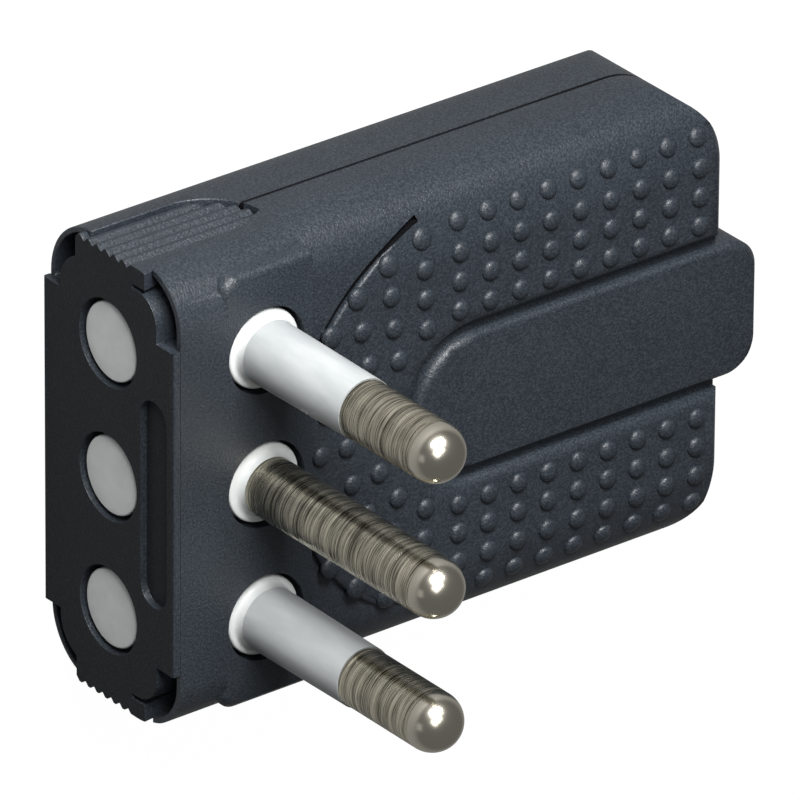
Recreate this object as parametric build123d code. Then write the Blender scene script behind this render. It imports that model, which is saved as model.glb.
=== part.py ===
from build123d import *
import math
import os

# Rewirable right-angle mains plug with three round pins in line, lying on its flat rear face.
# X runs from the pin end to the cable end, Y along the row of pins, Z out along the pins.
# The origin is on the earth pin's axis, in the plane of the rear face. All sizes are in millimetres.

# Small round pieces that repeat have this many flat sides, and what is cut through overruns by this
round_sides = 24
hex_sides = 6
overrun = 1.0

# Pins and their insulating sleeves
pin_pitch = 9.5
pin_d = 4.0
pin_length = 19.0
pin_neck_d = 3.0
tip_sides = 16
tip_tiers = 3
tip_end_angle = 78
sleeve_length = 10.0
sleeve_d = 4.36

# Housing
end_to_pin = 7.4
pin_to_tail = 37.6
body_height = 32.4
body_depth = 13.6
cover_depth = 12.3
grip_depth = 12.7
seam_height = 7.0
wall = 1.6
front_corner_r = 3.7
rear_corner_r = 4.4
corner_cut = 0.59
tail_corner_r = 5.4
tail_edge = 0.6
tail_rear_edge = 1.6
seam_reveal = 0.22
pad_half_width = 3.6
pad_half_height = 15.4
pad_corner_r = 1.4
pad_edge = 0.5
fit_gap = 0.15
slot_rim = 0.4
corner_slot_depth = 2.0

# Dotted grip round the cable bar
grip_centre_x = 17.4
grip_r = 14.1
grip_sink = 0.02
bar_half_height = 4.8
bar_groove_width = 0.75
bar_groove_depth = 0.9
bar_groove_shoulder = 0.4
bar_edge = 0.4
bar_projection = 2.9
bar_corner_r = 2.3
bar_rear_height = 3.1
bar_rear_edge = 1.2
dot_centre_x = 16.1
dot_d = 1.35
dot_height = 0.36
dot_rows = 4
dot_first_row = 6.95
dot_row_pitch = 2.08
dot_column_pitch = 2.43
dot_arc_pitch = 2.9
dot_margin = 0.4
dot_sides = 5

# End cap with its ribbed grips
cap_step = 0.6
cap_thickness = 2.0
cap_middle_half_height = 11.5
cap_edge_r = 0.25
tongue_rear_height = 4.3
tongue_front_height = 10.9
tongue_front_end_height = 9.3
tongue_bend_x = -0.75
tongue_slant_end_x = 1.6
tongue_tip_x = 3.45
tongue_tip_height = 8.3
tongue_thickness = 1.25
rib_low_height = 3.4
rib_high_height = 9.3
rib_pitch = 0.9
rib_depth = 0.34
rib_recess = 0.2
catch_length = 2.0
catch_depth = 0.9
catch_overhang = 0.8
strip_centre_height = 11.55
strip_width = 2.7
strip_half_length = 7.3
strip_depth = 0.5

# Pin carrier
front_hole_d = 6.0
collar_d = 5.4
collar_recess = 0.33
disc_height = 6.8
end_hole_d = 6.0
boss_d = 5.3
boss_recess = 0.3
carrier_side_gap = 0.55
carrier_length_back = 4.6
carrier_seat = 0.2
stop_rib_thickness = 1.2
stop_rib_depth = 2.0

# Terminals
terminal_width = 5.4
terminal_height = 5.4
wire_slot_width = 3.0
wire_slot_height = 3.2
wire_slot_floor = 1.6
terminal_screw_d = 3.0
terminal_screw_length = 2.8
terminal_screw_bite = 0.4
clamp_plate_thickness = 0.5
slot_width = 0.7
screw_gap = 0.02

# Closing screw and its pillar
closing_screw_x = 12.0
closing_screw_d = 3.0
closing_head_d = 5.4
closing_head_height = 1.8
closing_head_recess = 0.5
closing_screw_bite = 2.0
closing_pillar_d = 8.4
screw_hole_gap = 0.15

# Cable entry, bush and cord clamp
cable_d = 6.0
bush_wall = 0.7
bush_length = 4.4
bush_recess = 0.4
cable_way_length = 16.0
cable_way_gap = 0.3
clamp_x = 27.5
clamp_screw_y = 6.0
clamp_width = 4.0
clamp_half_length = 8.2
clamp_thickness = 1.3
clamp_screw_d = 2.2
clamp_head_d = 4.2
clamp_head_height = 1.0
clamp_screw_reach = 5.0
clamp_pillar_width = 4.4
clamp_bite = 0.1

end_x = -end_to_pin
shell_end_x = end_x + cap_step
tail_x = pin_to_tail
half_height = body_height / 2
bar_tail_x = tail_x + bar_projection
cable_z = (grip_depth + bar_rear_height) / 2
cap_inner_x = end_x + cap_thickness
carrier_end_x = cap_inner_x + fit_gap
catch_half_height = half_height - wall - fit_gap
carrier_half_height = catch_half_height - catch_depth - carrier_side_gap
pin_rows = (pin_pitch, 0.0, -pin_pitch)
inner_front_z = cover_depth - wall
carrier_rear_z = wall + carrier_seat
carrier_front_z = inner_front_z - carrier_seat
terminal_rear_z = carrier_rear_z + terminal_screw_length - wire_slot_floor - terminal_screw_bite
terminal_top_z = terminal_rear_z + terminal_height
slot_z = terminal_rear_z + wire_slot_floor
collar_top_z = body_depth - collar_recess
sleeve_end_z = body_depth + sleeve_length
tip_root_z = body_depth + pin_length - pin_d / 2 * math.sin(math.radians(tip_end_angle))
bush_x = bar_tail_x - bush_recess - bush_length
bush_d = cable_d + 2 * bush_wall
outside = 2 * body_height


def box_between(x0, x1, y0, y1, z0, z1):
    """A block given by its two opposite corners."""
    middle = Pos((x0 + x1) / 2, (y0 + y1) / 2, (z0 + z1) / 2)
    return middle * Box(x1 - x0, y1 - y0, z1 - z0)


def rod_z(x, y, z0, z1, diameter):
    """A round bar along Z."""
    return Pos(x, y, (z0 + z1) / 2) * Cylinder(diameter / 2, z1 - z0)


def rod_x(x0, x1, y, z, diameter):
    """A round bar along X."""
    return Pos((x0 + x1) / 2, y, z) * Rot(0, 90, 0) * Cylinder(diameter / 2, x1 - x0)


def hex_bar(x, y, z0, z1, across_corners):
    """A six-sided bar along Z, for hidden pillars, screws and the holes that take them."""
    return Pos(x, y, z0) * extrude(RegularPolygon(across_corners / 2, hex_sides), z1 - z0)


def button_z(x, y, z0, z1, diameter):
    """A small round piece along Z."""
    return Pos(x, y, z0) * extrude(RegularPolygon(diameter / 2, round_sides), z1 - z0)


def button_x(x0, x1, y, z, diameter):
    """A small round piece along X."""
    return Pos(x0, y, z) * Rot(0, 90, 0) * extrude(RegularPolygon(diameter / 2, round_sides), x1 - x0)


def section(depth, inset, cut_corners=False):
    """Cross-section of the housing, rounder at the front edges than at the rear ones."""
    face = Pos(0, depth / 2) * Rectangle(body_height - 2 * inset, depth - 2 * inset)
    if cut_corners:
        face = chamfer(face.vertices().group_by(Axis.Y)[-1], corner_cut * (front_corner_r - inset))
        return chamfer(face.vertices().group_by(Axis.Y)[0], corner_cut * (rear_corner_r - inset))
    face = fillet(face.vertices().group_by(Axis.Y)[-1], front_corner_r - inset)
    return fillet(face.vertices().group_by(Axis.Y)[0], rear_corner_r - inset)


def shell_plan(x0, x1, inset=0.0):
    """A block as wide as the housing less an inset at each side, as tall as the nose."""
    return box_between(x0, x1, inset - half_height, half_height - inset, 0, body_depth)


def along_x(face, x0, x1):
    """Extrude a cross-section from one station to another along the plug."""
    return extrude(Plane.YZ.offset(x0) * face, x1 - x0)


def plan(inset):
    """The housing seen from the front, as a tall block with its two rounded tail corners."""
    length = tail_x - inset - shell_end_x
    face = Pos(shell_end_x + length / 2, 0) * Rectangle(length, body_height - 2 * inset)
    corners = face.vertices().group_by(Axis.X)[-1]
    if inset >= wall:
        face = chamfer(corners, corner_cut * (tail_corner_r - inset))
    else:
        face = fillet(corners, tail_corner_r - inset)
    return extrude(face, grip_depth)


def bar_plan(half, tail, corner):
    """Outline of the cable bar: round at its pin end, with two small corners at its tail."""
    face = Pos((grip_centre_x + tail) / 2, 0) * Rectangle(tail - grip_centre_x, 2 * half)
    if corner:
        face = fillet(face.vertices().group_by(Axis.X)[-1], corner)
    return face + Pos(grip_centre_x, 0) * Circle(half)


def grip_section():
    """Cross-section of the raised grip, which runs smoothly into the rounded long edges."""
    arc_y = half_height - front_corner_r
    arc_z = cover_depth - front_corner_r
    arc_r = front_corner_r - grip_sink
    lean = (grip_r - arc_y) / arc_r
    rise = math.sqrt(1 - lean * lean)
    edge_z = arc_z + arc_r * rise
    blend_r = (grip_depth - edge_z) / (1 - rise)
    flat_y = grip_r - blend_r * lean
    middle_lean = math.sin(math.asin(lean) / 2)
    middle_rise = math.cos(math.asin(lean) / 2)
    middle_y = flat_y + blend_r * middle_lean
    middle_z = grip_depth - blend_r * (1 - middle_rise)
    outline = [
        Line((-grip_r, seam_height), (-grip_r, edge_z)),
        ThreePointArc((-grip_r, edge_z), (-middle_y, middle_z), (-flat_y, grip_depth)),
        Line((-flat_y, grip_depth), (flat_y, grip_depth)),
        ThreePointArc((flat_y, grip_depth), (middle_y, middle_z), (grip_r, edge_z)),
        Line((grip_r, edge_z), (grip_r, seam_height)),
        Line((grip_r, seam_height), (-grip_r, seam_height)),
    ]
    return make_face(outline), blend_r, flat_y


def front_height(y):
    """Height of the grip's surface and its slope, at a distance from the plug's middle line."""
    blend_r, flat_y = grip_section()[1:]
    if abs(y) <= flat_y:
        return grip_depth, 0.0
    slope = math.asin((abs(y) - flat_y) / blend_r)
    return grip_depth - blend_r * (1 - math.cos(slope)), math.copysign(slope, y)


def dot_places():
    """Centres of the grip dots: straight columns beside the bar and arcs round its end."""
    places = []
    run = tail_x - tail_edge - dot_d / 2 - dot_centre_x
    columns = int(run / dot_column_pitch) + 1
    corner_x = tail_x - tail_corner_r
    corner_y = half_height - tail_corner_r
    for row in range(dot_rows):
        radius = dot_first_row + row * dot_row_pitch
        for column in range(columns):
            x = dot_centre_x + column * dot_column_pitch
            past = math.hypot(max(0, x - corner_x), max(0, radius - corner_y))
            if past <= tail_corner_r - dot_d / 2 - dot_margin:
                places += [(x, radius), (x, -radius)]
        steps = round(math.pi * radius / dot_arc_pitch)
        for step in range(1, steps):
            turn = math.pi / 2 + math.pi * step / steps
            x = dot_centre_x + radius * math.cos(turn)
            if x > pad_half_width + dot_d / 2 + dot_margin:
                places.append((x, radius * math.sin(turn)))
    return places


def dots():
    """The grip dots: low pointed studs, each square to the surface under it."""
    outline = RegularPolygon(dot_d / 2, dot_sides)
    stud = loft([outline.face(), Vertex(0, 0, dot_height)])
    stud += extrude(outline, -wall / 2)
    studs = []
    for x, y in dot_places():
        z, slope = front_height(y)
        studs.append(Pos(x, y, z) * Rot(-math.degrees(slope), 0, 0) * stud)
    return studs


def tongue_profile(gap):
    """Side view of a ribbed tongue, or of the opening for it in the housing's long edge."""
    rear = tongue_rear_height + gap
    front = tongue_front_height - gap
    front_end = tongue_front_end_height - gap
    tip = (tongue_tip_x - gap, tongue_tip_height)
    start = end_x - cap_step
    bend = (tongue_bend_x, rear)
    slant = (tongue_slant_end_x, front_end)
    outline = [
        Line((start, rear), bend),
        TangentArc([bend, tip], tangent=(1, 0)),
        Line(tip, slant),
        Line(slant, (start, front)),
        Line((start, front), (start, rear)),
    ]
    face = Plane.XZ * make_face(outline)
    return extrude(face, outside / 2, both=True)


def outer_body():
    """The closed housing with all its outer forms, before it is hollowed and split."""
    tail_block = plan(0)
    tail_edges = tail_block.edges().group_by(Axis.Z)[-1].sort_by(Axis.X)[-3:]
    tail_block = chamfer(tail_edges, tail_edge)
    rear_edge = tail_block.edges().group_by(Axis.Z)[0].sort_by(Axis.X)[-3:]
    tail_block = chamfer(rear_edge, tail_rear_edge)
    body = along_x(section(cover_depth, 0), shell_end_x, tail_x) & tail_block

    # the raised grip, with its rounded start towards the pins
    grip_plan = Pos((grip_centre_x + tail_x) / 2, 0) * Rectangle(tail_x - grip_centre_x, 2 * grip_r)
    grip_plan += Pos(grip_centre_x, 0) * Circle(grip_r)
    grip = along_x(grip_section()[0], shell_end_x, tail_x) & extrude(grip_plan, grip_depth)
    body += grip & tail_block

    # the groove and the bar that covers the cable
    moat = extrude(bar_plan(bar_half_height + bar_groove_width, bar_tail_x, 0), bar_groove_depth)
    body -= Pos(0, 0, grip_depth - bar_groove_depth) * moat
    lip_half = bar_half_height + bar_groove_width + bar_groove_shoulder
    lip = extrude(bar_plan(lip_half, bar_tail_x, 0), -bar_groove_shoulder, taper=45)
    body -= Pos(0, 0, grip_depth) * lip
    bar = Pos(0, 0, seam_height) * extrude(
        bar_plan(bar_half_height, bar_tail_x, bar_corner_r), grip_depth - seam_height
    )
    bar = chamfer(bar.edges().group_by(Axis.Z)[-1], bar_edge)
    body += bar

    # the bar's rear half beyond the tail, where the cable leaves
    snout_x = tail_x - tail_corner_r
    snout_face = Pos((snout_x + bar_tail_x) / 2, 0) * Rectangle(bar_tail_x - snout_x, 2 * bar_half_height)
    snout_face = fillet(snout_face.vertices().group_by(Axis.X)[-1], bar_corner_r)
    snout = Pos(0, 0, bar_rear_height) * extrude(snout_face, seam_height - bar_rear_height)
    snout = chamfer(snout.edges().group_by(Axis.Z)[0], bar_rear_edge)
    body += snout

    # the thicker nose that holds the pins, and the flat pad on it
    body += along_x(section(body_depth, 0), shell_end_x, pad_half_width)
    pad_face = Rectangle(2 * pad_half_width, 2 * pad_half_height)
    pad_face = fillet(pad_face.vertices().group_by(Axis.X)[0], pad_corner_r)
    pad = Pos(0, 0, seam_height) * extrude(pad_face, body_depth - seam_height)
    body += chamfer(pad.edges().group_by(Axis.Z)[-1].filter_by(Axis.X), pad_edge)
    return body


def seam_groove():
    """A fine reveal in the rear shell's edge, which runs round the housing where its shells meet."""
    ring = along_x(section(cover_depth, 0), shell_end_x, tail_x) & plan(0)
    ring -= along_x(section(cover_depth, seam_reveal), shell_end_x, tail_x) & plan(seam_reveal)
    low = seam_height - seam_reveal
    return ring & box_between(end_x, tail_x, -half_height, half_height, low, seam_height)


def hollow():
    """The room inside the two shells, with the mouth that takes the end cap."""
    room = along_x(section(cover_depth, wall, True), shell_end_x, tail_x) & plan(wall)
    mouth_end_x = cap_inner_x + fit_gap
    mouth = along_x(section(body_depth, wall), shell_end_x, mouth_end_x)
    return room + mouth


def corner_slots():
    """Four deep slots beside the cap's corners, where a fingernail can lift the cap."""
    slot_end_x = shell_end_x + corner_slot_depth
    ring = along_x(section(body_depth, slot_rim), shell_end_x, slot_end_x)
    ring -= box_between(
        shell_end_x, slot_end_x, -cap_middle_half_height, cap_middle_half_height, 0, body_depth
    )
    return ring - box_between(
        shell_end_x, slot_end_x, -half_height, half_height, rib_low_height, rib_high_height
    )


def cable_way():
    """The round way for the cable, inwards from the tail, wider where the bush sits."""
    inner = rod_x(tail_x - cable_way_length, tail_x, 0, cable_z, cable_d + 2 * cable_way_gap)
    return inner + button_x(bush_x, bar_tail_x, 0, cable_z, bush_d)


body = outer_body()
room = hollow() + corner_slots()
way = cable_way()
opening = tongue_profile(0)
side_cut = opening - shell_plan(end_x - cap_step - overrun, tail_x, wall)
front_half = box_between(end_x, bar_tail_x, -half_height, half_height, seam_height, outside)
rear_half = box_between(end_x, bar_tail_x, -half_height, half_height, -outside, seam_height)
clamp_seat_z = cable_z - cable_d / 2 + clamp_bite

# Front shell: moulded cover with the pin holes, the grip dots, a stop rib and four pillars.
front_shell = body & front_half
front_shell += dots()
front_shell -= room
front_shell -= side_cut
stop_x = carrier_length_back + fit_gap
front_shell += box_between(
    stop_x, stop_x + stop_rib_thickness, wall - half_height, half_height - wall,
    inner_front_z - stop_rib_depth, inner_front_z
)
front_shell += hex_bar(closing_screw_x, 0, seam_height, inner_front_z, closing_pillar_d)
post_half = clamp_pillar_width / 2
for side in (1, -1):
    y = side * clamp_screw_y
    front_shell += box_between(
        clamp_x - post_half, clamp_x + post_half, y - post_half, y + post_half,
        clamp_seat_z, inner_front_z
    )
front_shell -= way
for side in (1, -1):
    front_shell -= hex_bar(
        clamp_x, side * clamp_screw_y, clamp_seat_z, clamp_seat_z + clamp_screw_reach,
        clamp_screw_d + 2 * screw_gap
    )
screw_end_z = seam_height + closing_screw_bite
front_shell -= hex_bar(closing_screw_x, 0, seam_height, screw_end_z, closing_screw_d + 2 * screw_gap)
for y in pin_rows:
    front_shell -= rod_z(0, y, inner_front_z - overrun, body_depth + overrun, front_hole_d)

# Rear shell: moulded tray with the flat rear face and the sunk seat of the closing screw.
rear_shell = (body & rear_half) - seam_groove()
rear_shell -= room
rear_shell -= side_cut
rear_shell += hex_bar(closing_screw_x, 0, wall, seam_height, closing_pillar_d)
rear_shell -= way
head_seat_z = closing_head_recess + closing_head_height
rear_shell -= rod_z(closing_screw_x, 0, -overrun, head_seat_z, closing_head_d + 2 * screw_hole_gap)
rear_shell -= hex_bar(closing_screw_x, 0, 0, seam_height, closing_screw_d + 2 * screw_hole_gap)

# End cap: a plate with a plug that fills the mouth and two springy ribbed tongues.
plug_gap = wall + fit_gap
end_cap = along_x(section(body_depth, plug_gap), end_x, cap_inner_x)
middle = box_between(
    end_x, shell_end_x, -cap_middle_half_height, cap_middle_half_height, 0, body_depth
)
end_cap += fillet(middle.edges().filter_by(Axis.Y).group_by(Axis.X)[0], cap_edge_r)
rib_count = int((rib_high_height - rib_low_height) / rib_pitch)
rib_top = half_height - rib_recess
for side in (1, -1):
    outer_y = side * rib_top
    root_y = side * (rib_top - tongue_thickness)
    flank = box_between(
        end_x, shell_end_x, min(outer_y, root_y - side * overrun), max(outer_y, root_y - side * overrun),
        rib_low_height, rib_high_height
    )
    tongue_block = along_x(section(body_depth, rib_recess), end_x, tongue_tip_x) & box_between(
        end_x, tongue_tip_x, min(outer_y, root_y), max(outer_y, root_y), 0, body_depth
    )
    tongue = tongue_block & tongue_profile(fit_gap)
    catch_y = side * catch_half_height
    catch_x = tongue_slant_end_x - catch_length
    catch_low = tongue_rear_height - catch_overhang
    catch_high = tongue_front_end_height + catch_overhang
    catch = box_between(
        catch_x, tongue_slant_end_x, min(catch_y, catch_y - side * catch_depth),
        max(catch_y, catch_y - side * catch_depth), catch_low, catch_high
    ) & along_x(section(cover_depth, plug_gap), catch_x, tongue_slant_end_x)
    neck = box_between(
        catch_x, tongue_slant_end_x, min(root_y, catch_y), max(root_y, catch_y),
        tongue_rear_height + catch_overhang, tongue_front_end_height - catch_overhang
    )
    end_cap += [flank, tongue, neck, catch]
    for rib in range(rib_count + 1):
        valley = Rot(45, 0, 0) * Box(
            2 * (tongue_tip_x - end_x), rib_depth * math.sqrt(2), rib_depth * math.sqrt(2)
        )
        end_cap -= Pos(end_x, outer_y, rib_low_height + rib * rib_pitch) * valley
for y in pin_rows:
    end_cap -= rod_x(end_x - overrun, cap_inner_x + overrun, y, disc_height, end_hole_d)
strip = SlotOverall(2 * strip_half_length, strip_width)
end_cap -= extrude(
    Plane.YZ.offset(end_x) * Pos(0, strip_centre_height) * strip, strip_depth
)

# Pin carrier: white block with a round collar for each pin and a round boss towards the end face.
carrier = box_between(
    carrier_end_x, carrier_length_back, -carrier_half_height, carrier_half_height,
    carrier_rear_z, carrier_front_z
)
pocket_half = terminal_width / 2 + fit_gap
for y in pin_rows:
    carrier += button_z(0, y, carrier_front_z - overrun, collar_top_z, collar_d)
    carrier += button_x(end_x + boss_recess, carrier_end_x + overrun, y, disc_height, boss_d)
for y in pin_rows:
    carrier -= box_between(
        -pocket_half, carrier_length_back, y - pocket_half, y + pocket_half,
        carrier_rear_z, terminal_top_z
    )
    if y == 0:
        carrier -= hex_bar(0, y, terminal_top_z - overrun, body_depth, pin_neck_d + 2 * screw_gap)
    else:
        carrier -= rod_z(0, y, terminal_top_z - overrun, body_depth, sleeve_d + 2 * screw_gap)

# Pins: turned from one bar, with a square terminal and a flatted neck. The neck of the outer two
# carries the sleeve, and the earth pin's shoulder seats on its collar.


def ball_tip():
    """The rounded end of a pin, cut as a few flat-sided tiers that follow a ball."""
    tip = None
    step = math.radians(tip_end_angle) / tip_tiers
    for tier in range(tip_tiers):
        low = step * tier
        rise = pin_d / 2 * (math.sin(low + step) - math.sin(low))
        run = pin_d / 2 * (math.cos(low) - math.cos(low + step)) * math.cos(math.pi / tip_sides)
        ring = RegularPolygon(pin_d / 2 * math.cos(low), tip_sides)
        stage = extrude(ring, rise, taper=math.degrees(math.atan2(run, rise)))
        stage = Pos(0, 0, pin_d / 2 * math.sin(low)) * stage
        tip = stage if tip is None else tip + stage
    return tip


def make_pin(y, sleeved):
    """One pin with its terminal head and a ball-shaped tip."""
    neck_end_z = sleeve_end_z if sleeved else collar_top_z + screw_gap
    pin = rod_z(0, y, neck_end_z, tip_root_z, pin_d)
    pin += hex_bar(0, y, terminal_top_z, neck_end_z, pin_neck_d)
    pin += Pos(0, y, tip_root_z) * ball_tip()
    pin += box_between(
        -terminal_width / 2, terminal_width / 2, y - terminal_width / 2, y + terminal_width / 2,
        terminal_rear_z, terminal_top_z
    )
    pin -= box_between(
        -terminal_width, terminal_width, y - wire_slot_width / 2, y + wire_slot_width / 2,
        slot_z, slot_z + wire_slot_height
    )
    pin -= hex_bar(0, y, terminal_rear_z, slot_z, terminal_screw_d + 2 * screw_gap)
    return pin


def make_sleeve(y):
    """Insulating sleeve moulded on a pin's neck, flush with the bare metal to a hair."""
    outer = rod_z(0, y, terminal_top_z, sleeve_end_z, sleeve_d)
    return outer - hex_bar(0, y, terminal_top_z, sleeve_end_z, pin_neck_d)


pieces = {
    "front_shell": front_shell,
    "rear_shell": rear_shell,
    "end_cap": end_cap,
    "pin_carrier": carrier,
}
for name, y in (("line", pin_pitch), ("earth", 0.0), ("neutral", -pin_pitch)):
    sleeved = name != "earth"
    pieces[name + "_pin"] = make_pin(y, sleeved)
    if sleeved:
        pieces[name + "_pin_sleeve"] = make_sleeve(y)
    plate_z = carrier_rear_z + terminal_screw_length
    screw = hex_bar(0, y, carrier_rear_z, plate_z, terminal_screw_d)
    slot = box_between(
        -terminal_screw_d, terminal_screw_d, y - slot_width / 2, y + slot_width / 2,
        carrier_rear_z, carrier_rear_z + slot_width
    )
    pieces[name + "_terminal_screw"] = screw - slot
    plate_half = wire_slot_width / 2 - fit_gap
    pieces[name + "_clamp_plate"] = box_between(
        -terminal_width / 2, terminal_width / 2, y - plate_half, y + plate_half,
        plate_z, plate_z + clamp_plate_thickness
    )

# Cord clamp: a bar across the cable, held up against two pillars by two screws.
clamp = box_between(
    clamp_x - clamp_width / 2, clamp_x + clamp_width / 2, -clamp_half_length, clamp_half_length,
    clamp_seat_z - clamp_thickness, clamp_seat_z
)
for side, name in ((1, "upper"), (-1, "lower")):
    y = side * clamp_screw_y
    clamp -= hex_bar(clamp_x, y, 0, clamp_seat_z, clamp_screw_d + 2 * screw_gap)
    head_top = clamp_seat_z - clamp_thickness
    screw = hex_bar(clamp_x, y, head_top - clamp_head_height, head_top, clamp_head_d)
    screw += hex_bar(clamp_x, y, head_top, head_top + clamp_screw_reach, clamp_screw_d)
    pieces["cord_clamp_screw_" + name] = screw
pieces["cord_clamp"] = clamp

# Closing screw: sunk in the rear face, it draws the two shells together.
screw = button_z(closing_screw_x, 0, closing_head_recess, head_seat_z, closing_head_d)
screw += hex_bar(closing_screw_x, 0, head_seat_z, screw_end_z, closing_screw_d)
pieces["closing_screw"] = screw - box_between(
    closing_screw_x - closing_head_d, closing_screw_x + closing_head_d,
    -slot_width / 2, slot_width / 2, closing_head_recess, closing_head_recess + slot_width
)

# Cable bush: soft ring held in the round opening at the tail.
bush = button_x(bush_x, bush_x + bush_length, 0, cable_z, bush_d)
bush -= rod_x(bush_x, bush_x + bush_length, 0, cable_z, cable_d)
pieces["cable_bush"] = bush

os.makedirs("parts", exist_ok=True)
for name, shape in pieces.items():
    export_step(shape, "parts/" + name + ".step")
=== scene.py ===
import math

import bmesh
import bpy
from mathutils import Matrix, Vector
from mathutils.bvhtree import BVHTree


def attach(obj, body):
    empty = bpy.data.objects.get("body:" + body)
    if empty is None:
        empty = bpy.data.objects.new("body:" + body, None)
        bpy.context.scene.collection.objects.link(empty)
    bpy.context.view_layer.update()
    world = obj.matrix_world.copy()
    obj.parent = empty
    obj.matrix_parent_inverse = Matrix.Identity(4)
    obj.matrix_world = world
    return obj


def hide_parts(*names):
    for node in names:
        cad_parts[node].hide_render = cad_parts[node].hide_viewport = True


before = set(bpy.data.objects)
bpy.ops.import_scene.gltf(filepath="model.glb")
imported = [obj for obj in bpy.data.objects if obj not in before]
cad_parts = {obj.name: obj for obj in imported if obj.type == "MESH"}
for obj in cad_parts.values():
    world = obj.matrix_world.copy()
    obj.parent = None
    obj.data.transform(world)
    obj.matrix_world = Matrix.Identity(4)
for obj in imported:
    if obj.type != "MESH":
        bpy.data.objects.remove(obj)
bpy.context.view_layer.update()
MM = 0.001

# Housing: two moulded half shells of slate grey plastic that meet at a fine seam.
# The mould was spark eroded, which leaves an even, slightly sparkling grain on every outer face.
# The rear shell is a copy of its solid with its sharp moulded edges eased by a small radius; the front
# shell's copy is only shaded smooth.


class Field:
    """A node socket that Python's operators can work on, and that can make other nodes of its tree."""

    def __init__(self, tree, socket):
        self.tree = tree
        self.socket = socket

    def node(self, kind, settings=None, values=None, out=0):
        """A new node: its settings first, then the values or links of its inputs."""
        made = self.tree.nodes.new(kind)
        for key, value in (settings or {}).items():
            setattr(made, key, value)
        for key, value in (values or {}).items():
            if isinstance(value, Field):
                self.tree.links.new(value.socket, made.inputs[key])
            else:
                made.inputs[key].default_value = value
        return Field(self.tree, made.outputs[out])

    def maths(self, operation, *values):
        """One sum on this field's numbers."""
        return self.node("ShaderNodeMath", {"operation": operation}, dict(enumerate(values)))

    def __add__(self, other):
        return self.maths("ADD", self, other)

    def __sub__(self, other):
        return self.maths("SUBTRACT", self, other)

    def __rsub__(self, other):
        return self.maths("SUBTRACT", other, self)

    def __mul__(self, other):
        return self.maths("MULTIPLY", self, other)

    __radd__ = __add__

    def part(self, axis):
        """One coordinate of a place."""
        return self.node("ShaderNodeSeparateXYZ", None, {0: self}, out="XYZ".index(axis))

    def between(self, low, high):
        """0 below low, 1 above high, smooth between."""
        settings = {"interpolation_type": "SMOOTHSTEP"}
        return self.node("ShaderNodeMapRange", settings, {"Value": self, "From Min": low, "From Max": high})

    def colours(self, dark, light):
        """A colour between two colours or colour fields, by this field."""
        ends = [end if isinstance(end, Field) else (*end, 1) for end in (dark, light)]
        return self.node("ShaderNodeMix", {"data_type": "RGBA"}, {0: self, 6: ends[0], 7: ends[1]}, out=2)

    def noise(self, size, detail=2.0, stretch=(1, 1, 1)):
        """Noise with features of about this size in metres, drawn out along the stretched axes."""
        scale = [1 / (size * s) for s in stretch]
        place = self.node("ShaderNodeMapping", None, {"Vector": self, "Scale": scale})
        return self.node("ShaderNodeTexNoise", None, {"Vector": place, "Scale": 1.0, "Detail": detail})


def surface(name):
    """A new material with its principled shader and a field of Object coordinates."""
    made = bpy.data.materials.new(name)
    made.use_nodes = True
    tree = made.node_tree
    shader = tree.nodes["Principled BSDF"]
    coordinates = tree.nodes.new("ShaderNodeTexCoord")
    return made, shader, Field(tree, coordinates.outputs["Object"])


def bumped(place, height, depth, strength=1.0):
    """A normal from a height field that is this many metres deep."""
    return place.node("ShaderNodeBump", None, {"Height": height, "Distance": depth, "Strength": strength})


def plug_in(shader, **inputs):
    """Links fields to the shader's sockets and sets plain values on them."""
    for key, value in inputs.items():
        socket = shader.inputs[key.replace("_", " ")]
        if isinstance(value, Field):
            value.tree.links.new(value.socket, socket)
        else:
            socket.default_value = value


def spark_texture(name, dark, light, painted_glint_colour, roughness, gloss):
    """Grained moulding: fine pits and grains, a few of which catch the light by a lower roughness and carry
    a pale painted glint in their colour.
    """
    made, shader, place = surface(name)
    grain = place.noise(0.16 * MM, detail=3)
    # The same spots lower the roughness, which is real gloss, and lighten the colour, which is painted
    # glint.
    glint_and_painted_fleck = place.noise(0.09 * MM, detail=1).between(0.60, 0.70)
    drift = place.noise(5 * MM, detail=2)
    shade = grain.between(0.35, 0.7) * 0.7 + drift * 0.3
    plug_in(
        shader,
        Base_Color=(glint_and_painted_fleck * 0.14).colours(shade.colours(dark, light), painted_glint_colour),
        Roughness=roughness + (grain - 0.5) * 0.2 - glint_and_painted_fleck * 0.24,
        Normal=bumped(place, grain, 0.045 * MM, 0.95),
        Specular_IOR_Level=gloss,
    )
    return made


def take_on(name, mesh, material, replaced=()):
    """A new piece from a mesh in place: its material, its body and the solids it stands for."""
    mesh.name = name
    mesh.materials.clear()
    mesh.materials.append(material)
    made = bpy.data.objects.new(name, mesh)
    bpy.context.scene.collection.objects.link(made)
    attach(made, "root")
    if replaced:
        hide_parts(*replaced)
    return made


def applied(thing):
    """The mesh of an object with its modifiers applied, and the object taken away."""
    bpy.context.view_layer.update()
    graph = bpy.context.evaluated_depsgraph_get()
    mesh = bpy.data.meshes.new_from_object(thing.evaluated_get(graph))
    bpy.data.objects.remove(thing)
    return mesh


def merged(mesh, pared=(), whole=False):
    """A bmesh of a mesh: its points joined, some peaks pared off and, if whole, its flat faces joined."""
    work = bmesh.new()
    work.from_mesh(mesh)
    bmesh.ops.remove_doubles(work, verts=work.verts, dist=0.001 * MM)
    peaks = [v for v in work.verts if any((v.co - peak).length < 0.08 * MM for peak in pared)]
    bmesh.ops.dissolve_verts(work, verts=peaks)
    if whole:
        bmesh.ops.dissolve_limit(work, angle_limit=math.radians(0.5), verts=work.verts, edges=work.edges)
    return work


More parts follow.
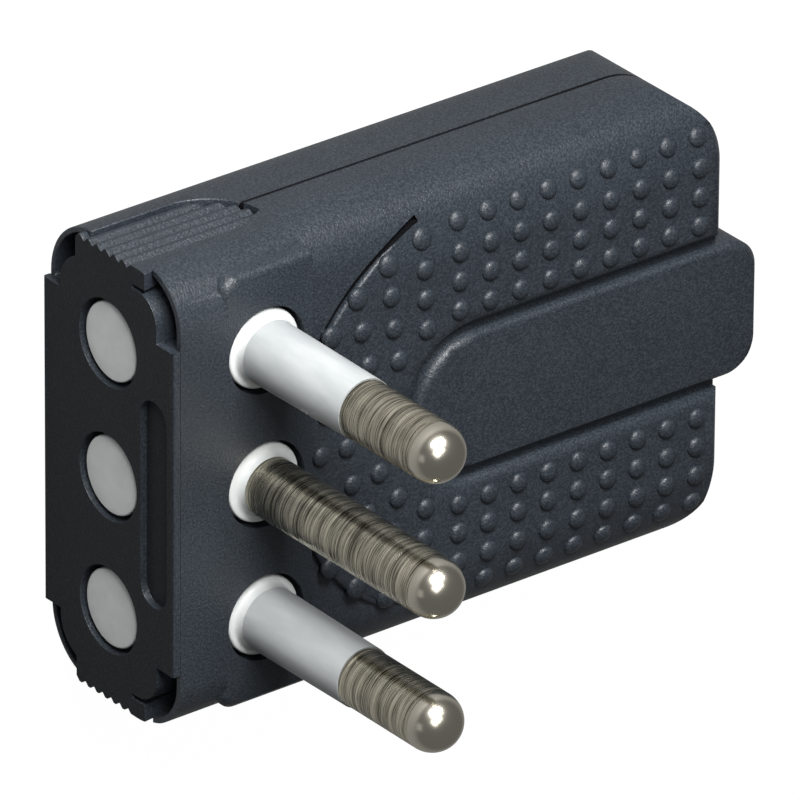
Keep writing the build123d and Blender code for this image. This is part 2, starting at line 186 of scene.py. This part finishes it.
def as_object(name, work):
    """A draft object from a bmesh, which is freed."""
    mesh = bpy.data.meshes.new(name)
    work.to_mesh(mesh)
    work.free()
    draft = bpy.data.objects.new(name + "_draft", mesh)
    bpy.context.scene.collection.objects.link(draft)
    return draft


def eased(name, node, material, width=0.0, smooth_to=50, pared=(), groove=None):
    """A copy of a solid in its place, its sharp edges rounded by this width, and shaded smooth."""
    work = merged(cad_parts[node].data, pared, whole=width > 0)
    if groove:
        draft = as_object(name, work)
        cut = draft.modifiers.new("cut", "BOOLEAN")
        cut.operation = "DIFFERENCE"
        cut.solver = "MANIFOLD"
        cut.object = groove
        work = merged(applied(draft))
        bpy.data.objects.remove(groove)
    if width:
        form = BVHTree.FromBMesh(work)
        corners = [edge for edge in work.edges if edge.calc_face_angle(0) > math.radians(25)]
        sharp = [edge for edge in corners if edge.calc_length() > 0.15 * MM]
        bmesh.ops.bevel(
            work, geom=sharp, offset=width, offset_type="OFFSET", segments=3, profile=0.5,
            affect="EDGES", clamp_overlap=False
        )
        for vert in work.verts:
            nearest, _, _, distance = form.find_nearest(vert.co)
            if distance > 0.6 * width:
                vert.co = nearest
    for face in work.faces:
        face.smooth = True
    for edge in work.edges:
        edge.smooth = edge.calc_face_angle(0) < math.radians(smooth_to)
    draft = as_object(name, work)
    even = draft.modifiers.new("even", "WEIGHTED_NORMAL")
    even.keep_sharp = True
    return take_on(name, applied(draft), material, (node,))


slate = spark_texture(
    "slate_moulding", (0.014, 0.018, 0.024), (0.040, 0.049, 0.060), (0.24, 0.27, 0.31), 0.41, 0.45
)
# Near-black grained material: painted shade for the inside of the seam's reveal and of the gap beside the
# grip.
painted_shade_black = spark_texture(
    "painted_seam_shade", (0.002, 0.002, 0.003), (0.005, 0.005, 0.006), (0.01, 0.01, 0.01), 0.7, 0.1
)
half_height = 16.2
tail_x = 37.6
seam_z = 7.0
reveal_height = 0.30
reveal_inset_y = 1.4
reveal_inset_x = 1.7
tray = eased("rear_tray", "rear_shell", slate, 0.13 * MM)
# Faces inside the seam's reveal at the sides and at the tail take the near-black painted shade.
tray.data.materials.append(painted_shade_black)
for polygon in tray.data.polygons:
    in_reveal = seam_z - reveal_height < polygon.center.z / MM < seam_z - 0.005
    at_side = abs(polygon.center.y) / MM > half_height - reveal_inset_y
    at_tail = polygon.center.x / MM > tail_x - reveal_inset_x
    if in_reveal and (at_side or at_tail):
        polygon.material_index = 1

# Grip dots: over a hundred studs with round tops, moulded with the front shell in the same slate plastic.
# They run in rows beside the bar and in arcs round its end, and each stands square to the grip's surface,
# which turns down towards the long edges. A node tree sets one small dome on each point.
dot_r = 0.70
dot_h = 0.40
dot_root_r = 0.675
outer_arc_breadth = 1.12
cover_depth = 12.3
grip_depth = 12.7
corner_r = 3.7
grip_r = 14.1
grip_start_x = 3.6
tail_corner_r = 5.4
dot_centre_x = 16.1
dot_first_row = 6.95
row_pitch = 2.08
column_pitch = 2.43
arc_pitch = 2.9
edge_margin = 0.4
tail_margin = 0.6

arc_r = corner_r - 0.02
lean = (grip_r - half_height + corner_r) / arc_r
rise = math.sqrt(1 - lean * lean)
blend_r = (grip_depth - (cover_depth - corner_r) - arc_r * rise) / (1 - rise)
flat_y = grip_r - blend_r * lean
dot_points = []
dot_uprights = []
dot_breadths = []


def grip_slope(y):
    """The angle by which the grip's surface has turned down at this height across the plug."""
    return math.asin(max(0, abs(y) - flat_y) / blend_r)


def grip_z(y):
    """How far the grip's surface stands above the rear face there."""
    return grip_depth - blend_r * (1 - math.cos(grip_slope(y)))


def stud_at(x, y, breadth=1.0):
    """Marks a stud's place, upright and relative breadth on the grip."""
    slope = grip_slope(y)
    dot_points.append(Vector((x, y, grip_z(y))) * MM)
    dot_breadths.append(breadth)
    dot_uprights.append(Vector((0, math.copysign(math.sin(slope), y), math.cos(slope))))


rows = 4
columns = 9
for row in range(rows):
    radius = dot_first_row + row_pitch * row
    for column in range(columns):
        x = dot_centre_x + column_pitch * column
        past = math.hypot(max(0, x - tail_x + tail_corner_r), max(0, radius - half_height + tail_corner_r))
        in_corner = past <= tail_corner_r - dot_root_r - edge_margin
        if in_corner and x <= tail_x - tail_margin - dot_root_r:
            stud_at(x, radius)
            stud_at(x, -radius)
    steps = round(math.pi * radius / arc_pitch)
    for step in range(1, steps):
        turn = math.pi / 2 + math.pi * step / steps
        x = dot_centre_x + radius * math.cos(turn)
        if x > grip_start_x + dot_root_r + edge_margin:
            stud_at(x, radius * math.sin(turn), outer_arc_breadth if row == rows - 1 else 1.0)

point_mesh = bpy.data.meshes.new("stud_points")
point_mesh.from_pydata(dot_points, [], [])
uprights = point_mesh.attributes.new("upright", "FLOAT_VECTOR", "POINT")
for index, upright in enumerate(dot_uprights):
    uprights.data[index].vector = upright
breadths = point_mesh.attributes.new("breadth", "FLOAT", "POINT")
for index, breadth in enumerate(dot_breadths):
    breadths.data[index].value = breadth

studs = bpy.data.node_groups.new("stud_field", "GeometryNodeTree")
studs.interface.new_socket("Geometry", in_out="INPUT", socket_type="NodeSocketGeometry")
studs_width = studs.interface.new_socket("Stud radius", in_out="INPUT", socket_type="NodeSocketFloat")
studs_height = studs.interface.new_socket("Stud height", in_out="INPUT", socket_type="NodeSocketFloat")
studs_finish = studs.interface.new_socket("Finish", in_out="INPUT", socket_type="NodeSocketMaterial")
studs.interface.new_socket("Geometry", in_out="OUTPUT", socket_type="NodeSocketGeometry")
given = studs.nodes.new("NodeGroupInput")
points = Field(studs, given.outputs["Geometry"])
breadth = points.node("GeometryNodeInputNamedAttribute", {"data_type": "FLOAT"}, {"Name": "breadth"})
across = breadth * Field(studs, given.outputs["Stud radius"])
tall = Field(studs, given.outputs["Stud height"])
size = points.node("ShaderNodeCombineXYZ", None, {0: across, 1: across, 2: tall})
ball = points.node("GeometryNodeMeshUVSphere", None, {"Segments": 28, "Rings": 16, "Radius": 1.0})
named = points.node("GeometryNodeInputNamedAttribute", {"data_type": "FLOAT_VECTOR"}, {"Name": "upright"})
turned_up = points.node("FunctionNodeAlignRotationToVector", {"axis": "Z"}, {"Vector": named})
placed = points.node(
    "GeometryNodeInstanceOnPoints", None,
    {"Points": points, "Instance": ball, "Rotation": turned_up, "Scale": size},
)
real = placed.node("GeometryNodeRealizeInstances", None, {"Geometry": placed})
smooth = real.node("GeometryNodeSetShadeSmooth", None, {0: real})
finished = smooth.node(
    "GeometryNodeSetMaterial", None,
    {"Geometry": smooth, "Material": Field(studs, given.outputs["Finish"])},
)
given_out = studs.nodes.new("NodeGroupOutput")
studs.links.new(finished.socket, given_out.inputs["Geometry"])
stud_holder = bpy.data.objects.new("stud_holder", point_mesh)
bpy.context.scene.collection.objects.link(stud_holder)
spread = stud_holder.modifiers.new("spread", "NODES")
spread.node_group = studs
spread[studs_width.identifier] = dot_r * MM
spread[studs_height.identifier] = dot_h * MM
spread[studs_finish.identifier] = slate
take_on("grip_studs", applied(stud_holder), slate)

# Front shell: the moulded slate half with the pin pad, the grip and the cable bar, screwed to the rear half.
# Its copy gets a narrow, tapering gap beside the upper part of the grip's round end, whose faces are painted
# near black as shade, and its own studs lose their peaks under the domes. A smooth strip with a rounded edge
# follows that round end.
gap_widest = 0.42
gap_narrowest = 0.13
gap_depth = 0.50
gap_from = 107
gap_to = 150
grip_centre_x = 17.4
rim_r = grip_r + 0.45
rim_inner_r = 13.7
rim_edge = 0.28
rim_bends = 6
rim_steps = 100
gap_steps = 24


def round_end(radius, degrees, z):
    """A point at this turn round the grip's end; z is a height."""
    turn = math.radians(degrees)
    return Vector((grip_centre_x + radius * math.cos(turn), radius * math.sin(turn), z)) * MM


def cover_z(radius, degrees):
    """The height of the cover's surface at this turn round the grip's end."""
    drop = max(0, abs(radius * math.sin(math.radians(degrees))) - half_height + corner_r)
    return cover_depth - corner_r + math.sqrt(max(0, corner_r**2 - drop**2))


def swept(name, sections):
    """A closed mesh through sections that all have the same number of points."""
    count = len(sections[0])
    verts = [point for section in sections for point in section]
    faces = [tuple(range(count)), tuple(range(len(verts) - count, len(verts)))]
    for step in range(len(sections) - 1):
        for side in range(count):
            after = (side + 1) % count
            a, b = step * count, (step + 1) * count
            faces.append((a + side, a + after, b + after, b + side))
    mesh = bpy.data.meshes.new(name)
    mesh.from_pydata(verts, [], faces)
    work = bmesh.new()
    work.from_mesh(mesh)
    bmesh.ops.recalc_face_normals(work, faces=work.faces)
    work.to_mesh(mesh)
    work.free()
    return mesh


sections = []
for step in range(gap_steps + 1):
    turn = gap_from + (gap_to - gap_from) * step / gap_steps
    inner = rim_r - 0.03
    outer = rim_r + gap_widest + (gap_narrowest - gap_widest) * step / gap_steps
    floor_z = cover_z(outer, turn) - gap_depth
    corners = ((inner, floor_z), (inner, cover_depth + 1), (outer, cover_depth + 1), (outer, floor_z))
    sections.append([round_end(radius, turn, z) for radius, z in corners])
gap = bpy.data.objects.new("gap", swept("gap", sections))
bpy.context.scene.collection.objects.link(gap)
stud_peaks = [point + upright * 0.36 * MM for point, upright in zip(dot_points, dot_uprights)]
cover = eased("front_cover", "front_shell", slate, pared=stud_peaks, groove=gap)


def paint_gap_shade(piece):
    """Gives the faces of the gap below the cover's surface a near-black painted shade."""
    piece.data.materials.append(painted_shade_black)
    for polygon in piece.data.polygons:
        out = Vector((polygon.center.x / MM - grip_centre_x, polygon.center.y / MM))
        turn = math.degrees(math.atan2(out.y, out.x))
        beside = rim_r - 0.05 < out.length < rim_r + gap_widest + 0.01
        along = gap_from - 1 < turn < gap_to + 1
        if beside and along and polygon.center.z / MM < cover_z(out.length, turn) - 0.04:
            polygon.material_index = 1


paint_gap_shade(cover)
sections = []
for step in range(rim_steps + 1):
    turn = 96 + 168 * step / rim_steps
    top = grip_z(rim_r * math.sin(math.radians(turn))) + 0.006
    low = cover_z(rim_r, turn)
    ring = [(rim_inner_r, top)]
    for bend in range(rim_bends + 1):
        angle = math.pi / 2 * (1 - bend / rim_bends)
        out = rim_r - rim_edge + rim_edge * math.cos(angle)
        ring.append((out, top - rim_edge + rim_edge * math.sin(angle)))
    ring += [(rim_r, min(low, top - rim_edge) - 0.01), (rim_r, low - gap_depth)]
    ring.append((rim_inner_r, low - gap_depth))
    sections.append([round_end(radius, turn, z) for radius, z in ring])
rim_mesh = swept("grip_rim", sections)
for polygon in rim_mesh.polygons:
    polygon.use_smooth = True
rim_mesh.set_sharp_from_angle(angle=math.radians(40))
# The rim's faces down in the gap take the same painted shade.
paint_gap_shade(take_on("grip_rim", rim_mesh, slate))

# End cap: a moulded plate over the pin end, with two springy ribbed tongues.
# Its flat end face gets a darker material, painted shade on the side turned away from the key lamp; it has
# three round holes and a sunk strip, which is left plain.
end_face_painted_shade = spark_texture(
    "painted_end_face_shade", (0.010, 0.012, 0.014), (0.024, 0.027, 0.031), (0.10, 0.11, 0.13), 0.55, 0.2
)
cap = eased("cap_plate", "end_cap", slate, 0.05 * MM, smooth_to=60)
cap.data.materials.append(end_face_painted_shade)
# Faces turned towards the pin end, away from the key lamp, take the darker painted shade.
for polygon in cap.data.polygons:
    if polygon.normal.x < -0.7:
        polygon.material_index = 1

# Pin carrier: a white glossy moulding that holds the pins inside the housing and shows only its round ends.
# A collar with a rounded rim stands round each pin, and a flat round boss fills each end hole.


def turned(rings, sides=96, sharp=30, bored=False):
    """A turned mesh about Z from (radius, height) rings in millimetres, with closed ends or a bore."""
    verts = []
    faces = []
    for radius, height in rings:
        for side in range(sides):
            turn = 2 * math.pi * side / sides
            verts.append(Vector((radius * math.cos(turn), radius * math.sin(turn), height)) * MM)
    for ring in range(len(rings) if bored else len(rings) - 1):
        low = ring * sides
        high = (ring + 1) % len(rings) * sides
        for side in range(sides):
            following = (side + 1) % sides
            faces.append((low + side, low + following, high + following, high + side))
    if not bored:
        faces.append(tuple(reversed(range(sides))))
        faces.append(tuple(range((len(rings) - 1) * sides, len(rings) * sides)))
    mesh = bpy.data.meshes.new("turned")
    mesh.from_pydata(verts, [], faces)
    for polygon in mesh.polygons:
        polygon.use_smooth = True
    mesh.set_sharp_from_angle(angle=math.radians(sharp))
    return mesh


def rounded(radius, height, edge, steps=6):
    """Rings of an outer edge that is rounded over at the top."""
    rings = []
    for step in range(steps + 1):
        turn = math.pi / 2 * step / steps
        rings.append((radius - edge + edge * math.cos(turn), height - edge + edge * math.sin(turn)))
    return rings


def joined(name, meshes_and_places, material, replaced=()):
    """Several meshes, each moved to its place, as one piece."""
    work = bmesh.new()
    for mesh, place in meshes_and_places:
        mesh.transform(place)
        work.from_mesh(mesh)
    whole = bpy.data.meshes.new(name)
    work.to_mesh(whole)
    work.free()
    take_on(name, whole, material, replaced)


white, shader, place = surface("white_moulding")
cloud = place.noise(1.2 * MM, detail=3)
plug_in(
    shader,
    Base_Color=cloud.between(0.3, 0.7).colours((0.70, 0.73, 0.72), (0.77, 0.79, 0.78)),
    Roughness=0.30 + cloud * 0.12,
    Normal=bumped(place, place.noise(0.25 * MM, detail=3), 0.008 * MM, 0.6),
    Specular_IOR_Level=0.5,
)
eased("carrier_block", "pin_carrier", white, 0.10 * MM)
pin_pitch = 9.5
pin_rows = (pin_pitch, 0.0, -pin_pitch)
body_depth = 13.6
collar_r = 2.74
collar_lip_r = 2.46
collar_top = body_depth - 0.33
collar_root = collar_top - 1.5
lip_steps = 6
collar_meshes = []
for y in pin_rows:
    inner = 2.02 if y == 0 else 2.19
    rings = [(collar_r, collar_root)] + rounded(collar_r, collar_top + 0.06, 0.16)
    for step in range(lip_steps + 1):
        turn = math.pi / 2 * step / lip_steps
        hollow = collar_lip_r - (collar_lip_r - inner) * math.sin(turn)
        rings.append((hollow, collar_top + 0.70 - 0.62 * math.cos(turn)))
    rings.append((inner, collar_root))
    collar_meshes.append((turned(rings, bored=True), Matrix.Translation(Vector((0, y, 0)) * MM)))
joined("collar_rims", collar_meshes, white)

end_face_x = -7.4
boss_recess = 0.3
boss_r = 2.68
boss_z = 6.8
boss_meshes = []
for y in pin_rows:
    rings = [(boss_r, -1.2)] + rounded(boss_r, 0.03, 0.14) + [(1.6, 0.035), (0.4, 0.04)]
    seat = Matrix.Translation(Vector((end_face_x + boss_recess, y, boss_z)) * MM)
    boss_meshes.append((turned(rings), seat @ Matrix.Rotation(math.radians(-90), 4, "Y")))
joined("boss_faces", boss_meshes, white)

# Sleeves: light grey insulation moulded on the necks of the outer two pins.
# Each tapers by a hair towards the bare metal and ends in a thin dark step.
grey, shader, place = surface("grey_moulding")
smudge = place.noise(0.9 * MM, detail=4, stretch=(1, 1, 4))
plug_in(
    shader,
    Base_Color=smudge.between(0.3, 0.75).colours((0.47, 0.495, 0.50), (0.55, 0.57, 0.575)),
    Roughness=0.34 + smudge * 0.14,
    Normal=bumped(place, place.noise(0.3 * MM, detail=3), 0.008 * MM, 0.6),
    Specular_IOR_Level=0.45,
)
sleeve_r = 2.18
sleeve_bore_r = 1.52
sleeve_foot = 8.0
sleeve_end = 23.6
sleeve_step = 0.08
for name, y in (("line", pin_pitch), ("neutral", -pin_pitch)):
    rings = [(sleeve_r, sleeve_foot), (sleeve_r, collar_top + 0.8), (2.14, 18.0), (2.09, sleeve_end)]
    rings += [(2.02, sleeve_end - sleeve_step), (sleeve_bore_r, sleeve_end - sleeve_step)]
    rings.append((sleeve_bore_r, sleeve_foot))
    set_up = [(turned(rings, bored=True), Matrix.Translation(Vector((0, y, 0)) * MM))]
    joined(name + "_sleeve_skin", set_up, grey, (name + "_pin_sleeve",))

# Pins: nickel-plated brass, turned on a lathe, polished only at the tips and pressed into the carrier.
# The cutter left fine rings all the way down; the colour runs from dark to bright in rings and broad patches
# along each pin.
# A skin with real turned grooves lies over each solid pin.
nickel, shader, place = surface("turned_nickel")
tip_start = 30.55 * MM
height = place.part("Z")
on_tip = (height - tip_start).between(0, 0.12 * MM)
rings_fine = place.noise(0.055 * MM, detail=3, stretch=(60, 60, 1)).between(0.38, 0.60)
rings_broad = place.noise(0.28 * MM, detail=3, stretch=(14, 14, 1)).between(0.42, 0.62)
broad_tone = place.noise(1.6 * MM, detail=3).between(0.35, 0.7)
bright = rings_fine * 0.55 + rings_broad * 0.30 + broad_tone * 0.15
metal = bright.colours((0.08, 0.07, 0.05), (1.0, 0.93, 0.75))
plug_in(
    shader,
    Base_Color=on_tip.colours(metal, (0.78, 0.73, 0.62)),
    Metallic=1.0,
    Roughness=bright * (1 - on_tip) * 0.10 + 0.22,
    Normal=bumped(place, rings_fine * (1 - on_tip), 0.006 * MM, 0.5),
)
pin_top = 32.6
pin_r = 2.0
skin_r = pin_r + 0.012
ball_start = pin_top - pin_r * math.sin(math.radians(78))
groove_pitch = 0.09
tip_steps = 32
for name, y in zip(("line", "earth", "neutral"), pin_rows):
    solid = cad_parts[name + "_pin"]
    solid.data.materials.clear()
    solid.data.materials.append(nickel)
    start = collar_top - 0.05 if y == 0 else sleeve_end + 0.05
    rings = []
    for step in range(int((ball_start - 0.1 - start) / groove_pitch)):
        level = start + step * groove_pitch
        cut = 0.008 + 0.005 * math.sin(step * 2.3 + y) + 0.003 * math.sin(step * 0.71)
        rings += [(skin_r, level), (skin_r, level + 0.4 * groove_pitch)]
        rings.append((skin_r - cut, level + 0.7 * groove_pitch))
    rings += [(skin_r, ball_start - 0.08), (skin_r, ball_start)]
    for step in range(1, tip_steps + 1):
        turn = math.pi / 2 * step / (tip_steps + 0.3)
        rings.append((skin_r * math.cos(turn), ball_start + skin_r * math.sin(turn)))
    set_up = [(turned(rings, sides=72, sharp=60), Matrix.Translation(Vector((0, y, 0)) * MM))]
    joined(name + "_pin_skin", set_up, nickel)

# Terminals and cord clamp: zinc-plated screws and plates, and a black clamping bar.
# They are hidden in the closed housing and keep the form of their solids.
zinc, shader, place = surface("zinc_steel")
bloom = place.noise(0.5 * MM, detail=4)
plug_in(
    shader,
    Base_Color=bloom.between(0.3, 0.7).colours((0.38, 0.39, 0.40), (0.62, 0.63, 0.62)),
    Metallic=1.0,
    Roughness=0.28 + bloom * 0.2,
    Normal=bumped(place, bloom, 0.01 * MM, 0.5),
)
black, shader, place = surface("black_moulding")
haze = place.noise(0.4 * MM, detail=3)
plug_in(
    shader,
    Base_Color=haze.between(0.3, 0.7).colours((0.018, 0.018, 0.020), (0.034, 0.034, 0.037)),
    Roughness=0.42 + haze * 0.2,
    Normal=bumped(place, haze, 0.015 * MM, 0.5),
)
plain = {
    zinc: (
        "line_terminal_screw", "earth_terminal_screw", "neutral_terminal_screw",
        "line_clamp_plate", "earth_clamp_plate", "neutral_clamp_plate",
        "cord_clamp_screw_upper", "cord_clamp_screw_lower",
    ),
    black: ("cord_clamp",),
}
for material, nodes in plain.items():
    for node in nodes:
        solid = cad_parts[node]
        solid.data.materials.clear()
        solid.data.materials.append(material)

# Closing screw: a zinc-plated steel screw with a slotted cheese head, sunk in the rear face.
# It draws the rear half against the front one.
eased("closing_screw_head", "closing_screw", zinc, 0.12 * MM)

# Cable bush: a soft black rubber ring, held by both shells in the round opening at the tail.
# It keeps the cord from chafing on the hard edge.
rubber, shader, place = surface("black_rubber")
dust = place.noise(0.35 * MM, detail=4)
plug_in(
    shader,
    Base_Color=dust.between(0.3, 0.75).colours((0.012, 0.012, 0.013), (0.030, 0.030, 0.031)),
    Roughness=0.62 + dust * 0.2,
    Normal=bumped(place, dust, 0.02 * MM, 0.6),
    Specular_IOR_Level=0.35,
)
eased("bush_ring", "cable_bush", rubber, 0.15 * MM)

# Floor, lamps and camera: a plain pale sheet under the plug, a key lamp above its long edge, a weak one at
# its pin end and a broad one on the camera's side. The camera stands a metre off, at the photograph's angle.
floor_mesh = bpy.data.meshes.new("floor")
reach = 3.0
corners = [(-reach, -reach, 0), (reach, -reach, 0), (reach, reach, 0), (-reach, reach, 0)]
floor_mesh.from_pydata(corners, [], [(0, 1, 2, 3)])
floor = bpy.data.objects.new("floor", floor_mesh)
bpy.context.scene.collection.objects.link(floor)
paper = bpy.data.materials.new("pale_paper")
paper.use_nodes = True
paper_tree = paper.node_tree
paper_shader = paper_tree.nodes["Principled BSDF"]
plug_in(paper_shader, Base_Color=(0.18, 0.18, 0.18, 1), Roughness=0.9)


def by_ray(tree, mirrored):
    """1 for what the camera sees, and this much for what metal mirrors."""
    ray = tree.nodes.new("ShaderNodeLightPath")
    seen = Field(tree, ray.outputs["Is Camera Ray"])
    glossy = Field(tree, ray.outputs["Is Glossy Ray"])
    through = Field(tree, ray.outputs["Is Transmission Ray"])
    return seen + (glossy + through) * mirrored


matt = Field(paper_tree, paper_shader.outputs[0])
glow = matt.node("ShaderNodeEmission", None, {"Color": (1, 1, 1, 1), "Strength": 1.41})
mixed = glow.node("ShaderNodeMixShader", None, {0: by_ray(paper_tree, 0.12) * 0.7, 1: matt, 2: glow})
paper_tree.links.new(mixed.socket, paper_tree.nodes["Material Output"].inputs["Surface"])
floor_mesh.materials.append(paper)

world = bpy.data.worlds.new("studio")
world.use_nodes = True
bpy.context.scene.world = world
sky = world.node_tree.nodes["Background"]
sky.inputs["Color"].default_value = (1, 1, 1, 1)
ambient = 0.012
strength = by_ray(world.node_tree, 0.12) * (1 - ambient) + ambient
world.node_tree.links.new(strength.socket, sky.inputs["Strength"])

aim = Vector((5, 0, 12)) * MM


def lamp(name, towards, distance, width, height, watts):
    """A soft rectangular lamp in this direction from the plug, turned to face it."""
    data = bpy.data.lights.new(name, "AREA")
    data.shape = "RECTANGLE"
    data.size = width
    data.size_y = height
    data.energy = watts
    made = bpy.data.objects.new(name, data)
    direction = Vector(towards).normalized()
    made.location = aim + direction * distance
    made.rotation_euler = direction.to_track_quat("Z", "Y").to_euler()
    bpy.context.scene.collection.objects.link(made)


lamp("key_lamp", (-0.16, 0.80, 0.57), 0.25, 0.16, 0.08, 1.12)
lamp("end_lamp", (-1.0, -0.05, 0.10), 0.6, 0.25, 0.25, 0.05)
lamp("front_lamp", (-0.30, 0.44, 0.80), 0.6, 0.42, 0.26, 0.90)

right = Vector((0.7895, 0.0066, 0.6137))
up = Vector((0.2805, 0.8855, -0.3704))
back = right.cross(up)
middle = Vector((10, 0, 10.4)) * MM + right * 2.448 * MM + up * 1.316 * MM
camera_data = bpy.data.cameras.new("camera")
camera_data.sensor_width = 36
camera_data.lens = 709.65
camera_data.clip_end = 10
camera = bpy.data.objects.new("camera", camera_data)
turn = Matrix((right, up, back)).transposed()
camera.matrix_world = Matrix.Translation(middle + back * 1.0) @ turn.to_4x4()
bpy.context.scene.collection.objects.link(camera)
bpy.context.scene.camera = camera
bpy.context.scene.view_settings.view_transform = "Standard"
